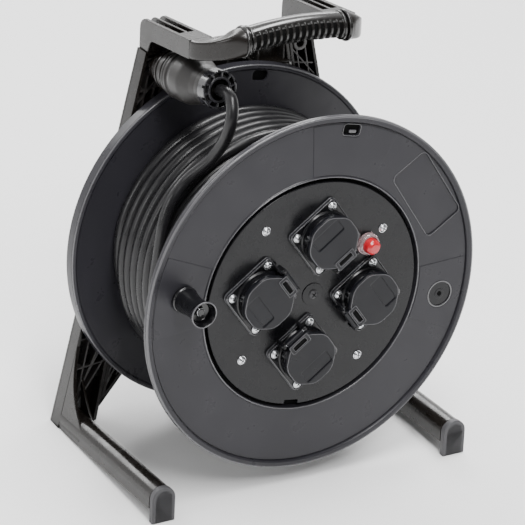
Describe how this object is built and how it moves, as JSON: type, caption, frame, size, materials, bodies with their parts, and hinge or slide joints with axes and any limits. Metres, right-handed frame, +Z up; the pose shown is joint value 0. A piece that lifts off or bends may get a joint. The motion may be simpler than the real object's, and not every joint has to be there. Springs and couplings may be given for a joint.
{
  "type": "extension cord reel",
  "caption": "Drum of rubber mains cable on a leaning moulded stand with a carrying handle, crank knob, lidded sockets, a reset button and a parked plug.",
  "frame": {"origin": "under the middle of the reel's bounding box, on the floor", "axes": "+Z up, the socket face looks along -Y, +X to the right seen from the sockets' side"},
  "size_m": [0.2988, 0.2035, 0.3753],
  "materials": {
    "frame_plastic": "glossy black moulded plastic",
    "drum_plastic": "satin dark grey moulded plastic",
    "panel_plastic": "smooth black plastic",
    "socket_plastic": "fine-grained black plastic",
    "lid_plastic": "fine-grained dark grey plastic",
    "grip_plastic": "ribbed glossy black plastic",
    "foot_rubber": "matt grey rubber",
    "zinc_steel": "zinc plated steel",
    "bearing_plastic": "natural polyamide",
    "clear_plastic": "clear polycarbonate",
    "red_plastic": "translucent red plastic",
    "cord_rubber": "semi-gloss black rubber sheath",
    "plug_rubber": "black rubber"
  },
  "bodies": {
    "frame": {"left_leg": "frame_plastic", "right_leg": "frame_plastic", "left_lower_brace": "frame_plastic", "right_lower_brace": "frame_plastic", "left_upper_brace": "frame_plastic", "right_upper_brace": "frame_plastic", "hub_carrier": "frame_plastic", "top_beam": "frame_plastic", "left_foot": "frame_plastic", "right_foot": "frame_plastic", "left_foot_cap": "foot_rubber", "right_foot_cap": "foot_rubber", "left_arm": "frame_plastic", "right_arm": "frame_plastic", "handle_bar": "frame_plastic", "handle_grip": "grip_plastic", "axle": "zinc_steel", "axle_washer": "zinc_steel", "axle_nut": "zinc_steel", "plug_holder": "frame_plastic", "cord_tail": "cord_rubber"},
    "drum": {"front_flange": "drum_plastic", "rear_flange": "drum_plastic", "drum_barrel": "drum_plastic", "hub_tube": "drum_plastic", "front_bush": "bearing_plastic", "rear_bush": "bearing_plastic", "hub_web": "drum_plastic", "socket_panel": "panel_plastic", "hub_cap": "panel_plastic", "panel_screw_1": "zinc_steel", "panel_screw_2": "zinc_steel", "panel_screw_3": "zinc_steel", "panel_screw_4": "zinc_steel", "top_socket": "socket_plastic", "left_socket": "socket_plastic", "bottom_socket": "socket_plastic", "right_socket": "socket_plastic", "top_lid_pin": "zinc_steel", "left_lid_pin": "zinc_steel", "bottom_lid_pin": "zinc_steel", "right_lid_pin": "zinc_steel", "breaker_body": "socket_plastic", "breaker_collar": "clear_plastic", "knob_spindle": "zinc_steel", "terminal_block": "bearing_plastic", "cord_clamp": "drum_plastic", "cord_winding": "cord_rubber"},
    "top_lid": {"top_lid": "lid_plastic"},
    "left_lid": {"left_lid": "lid_plastic"},
    "bottom_lid": {"bottom_lid": "lid_plastic"},
    "right_lid": {"right_lid": "lid_plastic"},
    "reset_button": {"reset_button": "red_plastic"},
    "crank_knob": {"crank_knob": "frame_plastic"},
    "plug": {"plug_body": "plug_rubber", "plug_gland": "plug_rubber", "plug_pin_left": "zinc_steel", "plug_pin_right": "zinc_steel"}
  },
  "joints": [
    {"name": "drum_spin", "type": "hinge", "parent": "frame", "child": "drum", "pos_m": [0, -0.00162, 0.1577], "axis": [0, 0.9969, -0.0785], "continuous": true},
    {"name": "knob_spin", "type": "hinge", "parent": "drum", "child": "crank_knob", "pos_m": [-0.11655, -0.08192, 0.18254], "axis": [0, 0.9969, -0.0785], "continuous": true},
    {"name": "top_lid_hinge", "type": "hinge", "parent": "drum", "child": "top_lid", "pos_m": [0.02195, -0.07961, 0.19267], "axis": [0.809, 0.0461, 0.586], "range_deg": [0, 100], "stiffness_Nm_per_rad": 0.02, "springref_deg": -34.38},
    {"name": "left_lid_hinge", "type": "hinge", "parent": "drum", "child": "left_lid", "pos_m": [-0.02874, -0.08015, 0.1859], "axis": [-0.5878, 0.0635, 0.8065], "range_deg": [0, 100], "stiffness_Nm_per_rad": 0.02, "springref_deg": -34.38},
    {"name": "bottom_lid_hinge", "type": "hinge", "parent": "drum", "child": "bottom_lid", "pos_m": [-0.02195, -0.08412, 0.13537], "axis": [-0.809, -0.0461, -0.586], "range_deg": [0, 100], "stiffness_Nm_per_rad": 0.02, "springref_deg": -34.38},
    {"name": "right_lid_hinge", "type": "hinge", "parent": "drum", "child": "right_lid", "pos_m": [0.02874, -0.08359, 0.14214], "axis": [0.5878, -0.0635, -0.8065], "range_deg": [0, 100], "stiffness_Nm_per_rad": 0.02, "springref_deg": -34.38},
    {"name": "reset_press", "type": "slide", "parent": "drum", "child": "reset_button", "axis": [0, 0.9969, -0.0785], "range_m": [0, 0.0025], "stiffness_N_per_m": 300, "springref_m": -0.001},
    {"name": "plug_pull", "type": "slide", "parent": "frame", "child": "plug", "axis": [0.0637, -0.98, 0.1887], "range_m": [0, 0.02], "deforming": ["cord_tail"]}
  ]
}
